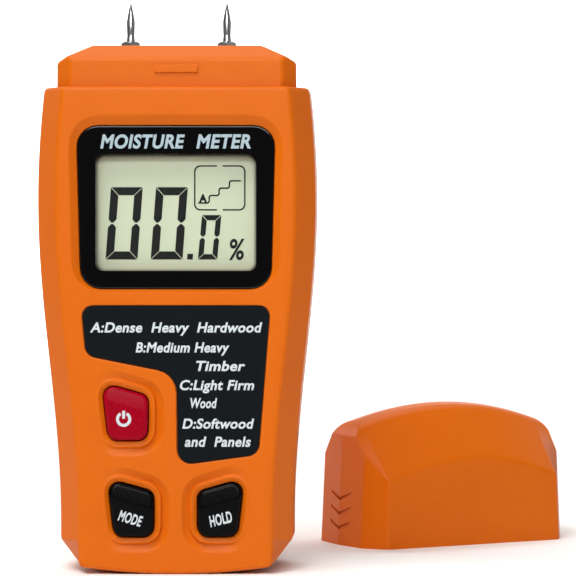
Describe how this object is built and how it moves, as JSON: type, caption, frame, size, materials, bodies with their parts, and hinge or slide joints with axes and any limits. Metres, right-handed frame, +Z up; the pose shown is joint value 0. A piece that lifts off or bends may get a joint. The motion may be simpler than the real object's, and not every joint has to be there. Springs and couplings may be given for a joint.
{
  "type": "moisture meter",
  "caption": "Handheld two-pin moisture meter with a waisted orange housing, a black display lens and legend, press keys, and its pin cap standing beside it.",
  "frame": {"origin": "on the surface both pieces stand on, under the middle of the bounding box of meter and cap together", "axes": "+Z up, along the pins; -Y out of the display; +X to the right as the display is read"},
  "size_m": [0.1198, 0.0952, 0.1221],
  "materials": {
    "orange_housing": "moulded orange ABS with a fine satin spark texture",
    "lens_plastic": "clear acrylic printed glossy black behind, clear over the display",
    "lcd_glass": "grey-green reflective liquid crystal cell",
    "black_label": "matte black printed polycarbonate label",
    "black_button": "satin black moulded plastic with white print",
    "red_button": "satin red moulded plastic with white print",
    "pin_steel": "ground and polished hardened steel",
    "screw_steel": "zinc-plated steel",
    "insert_brass": "turned brass",
    "contact_nickel": "nickel-plated spring steel",
    "board_laminate": "glass-epoxy laminate under green solder mask",
    "white_plastic": "white ABS",
    "black_rubber": "layered conductive silicone strip",
    "black_epoxy": "black potting epoxy or moulded black nylon",
    "cell_jacket": "steel can in a printed film sleeve"
  },
  "bodies": {
    "meter": {"front_shell": "orange_housing", "back_shell": "orange_housing", "display_lens": "lens_plastic", "lcd_glass": "lcd_glass", "lcd_holder": "white_plastic", "zebra_strip_lower": "black_rubber", "zebra_strip_upper": "black_rubber", "legend_label": "black_label", "power_switch": "contact_nickel", "mode_switch": "contact_nickel", "hold_switch": "contact_nickel", "case_screw_1": "screw_steel", "board_screw_1": "screw_steel", "case_screw_2": "screw_steel", "board_screw_2": "screw_steel", "case_screw_3": "screw_steel", "board_screw_3": "screw_steel", "case_screw_4": "screw_steel", "board_screw_4": "screw_steel", "left_pin": "pin_steel", "left_pin_insert": "insert_brass", "left_pin_lead": "contact_nickel", "left_cell": "cell_jacket", "right_pin": "pin_steel", "right_pin_insert": "insert_brass", "right_pin_lead": "contact_nickel", "right_cell": "cell_jacket", "circuit_board": "board_laminate", "controller_chip": "black_epoxy", "quartz_crystal": "contact_nickel", "smoothing_capacitor": "contact_nickel", "positive_contact": "contact_nickel", "negative_contact": "contact_nickel", "bridge_contact": "contact_nickel", "lower_spring": "contact_nickel", "upper_spring": "contact_nickel"},
    "power_key": {"power_button": "red_button", "power_switch_plunger": "black_epoxy"},
    "mode_key": {"mode_button": "black_button", "mode_switch_plunger": "black_epoxy"},
    "hold_key": {"hold_button": "black_button", "hold_switch_plunger": "black_epoxy"},
    "battery_door": {"battery_cover": "orange_housing"},
    "pin_cap": {"pin_cap": "orange_housing"}
  },
  "joints": [
    {"name": "power_press", "type": "slide", "parent": "meter", "child": "power_key", "axis": [0, 1, 0], "range_m": [0, 0.0005], "stiffness_N_per_m": 300},
    {"name": "mode_press", "type": "slide", "parent": "meter", "child": "mode_key", "axis": [0, 1, 0], "range_m": [0, 0.0005], "stiffness_N_per_m": 300},
    {"name": "hold_press", "type": "slide", "parent": "meter", "child": "hold_key", "axis": [0, 1, 0], "range_m": [0, 0.0005], "stiffness_N_per_m": 300},
    {"name": "cover_swing", "type": "hinge", "parent": "meter", "child": "battery_door", "pos_m": [-0.02989, -0.01681, 0.0098], "axis": [-1, 0, 0], "range_deg": [0, 80]},
    {"name": "cap_lift", "type": "slide", "parent": "meter", "child": "pin_cap", "axis": [0, 0, 1], "range_m": [0, 0.03]}
  ]
}
